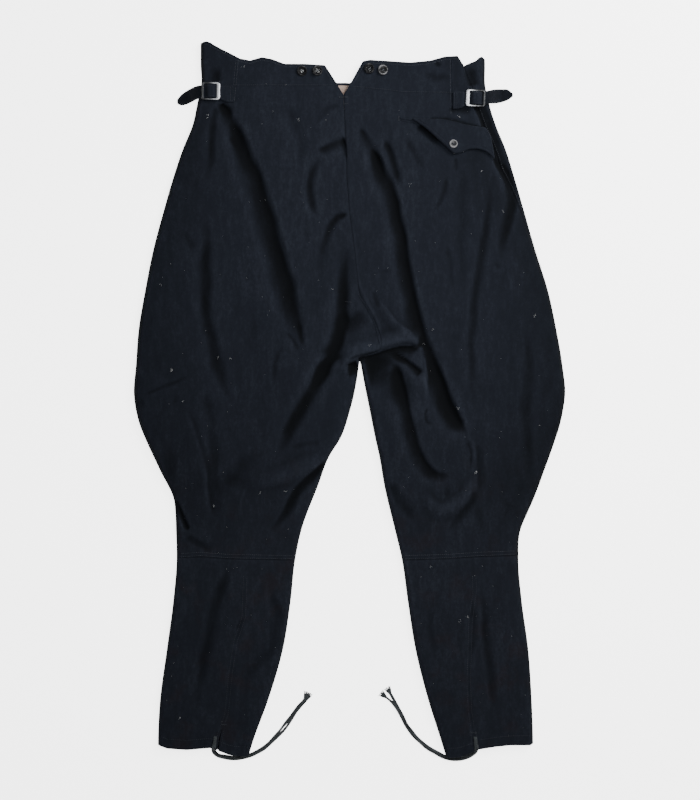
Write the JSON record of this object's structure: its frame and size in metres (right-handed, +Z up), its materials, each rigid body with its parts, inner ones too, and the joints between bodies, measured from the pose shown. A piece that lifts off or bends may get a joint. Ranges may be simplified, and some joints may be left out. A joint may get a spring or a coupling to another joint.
{
  "type": "wool riding breeches laid flat, back side up",
  "caption": "Wool riding breeches laid flat, back up: full thighs, narrow laced calves, notched waistband, cinch straps with buckles, brace buttons and a buttoned pocket flap.",
  "frame": {"origin": "middle of the garment's own box, on the surface it lies on (hem tapes left out)", "axes": "+Y from hem to waist, +X across towards the wearer's right leg, +Z up out of the surface"},
  "size_m": [0.6459, 1.0801, 0.0191],
  "materials": {
    "wool": "matt, fulled heavy wool, blue-black",
    "lining": "matt plain cotton, pinkish beige",
    "metal": "bright nickel plate, lightly worn",
    "horn": "dark horn with a soft polish",
    "tape": "matt woven tape, dark grey-green"
  },
  "bodies": {
    "root": {"back_left": "wool", "back_right": "wool", "back_waistband_left": "wool", "back_waistband_right": "wool", "front_left": "wool", "front_right": "wool", "fly": "wool", "calf_left_outer": "wool", "calf_left_inner": "wool", "calf_right_outer": "wool", "calf_right_inner": "wool", "pocket_flap": "wool", "cinch_strap_left": "wool", "cinch_strap_right": "wool", "buckle_tab_left": "wool", "buckle_tab_right": "wool", "waistband_lining": "lining", "buckle_left": "metal", "buckle_right": "metal", "brace_button_1": "horn", "brace_button_2": "horn", "brace_button_3": "horn", "brace_button_4": "horn", "pocket_flap_button": "horn", "hem_tape_left_a": "tape", "hem_tape_left_b": "tape", "hem_tape_right_a": "tape", "hem_tape_right_b": "tape"}
  },
  "joints": []
}
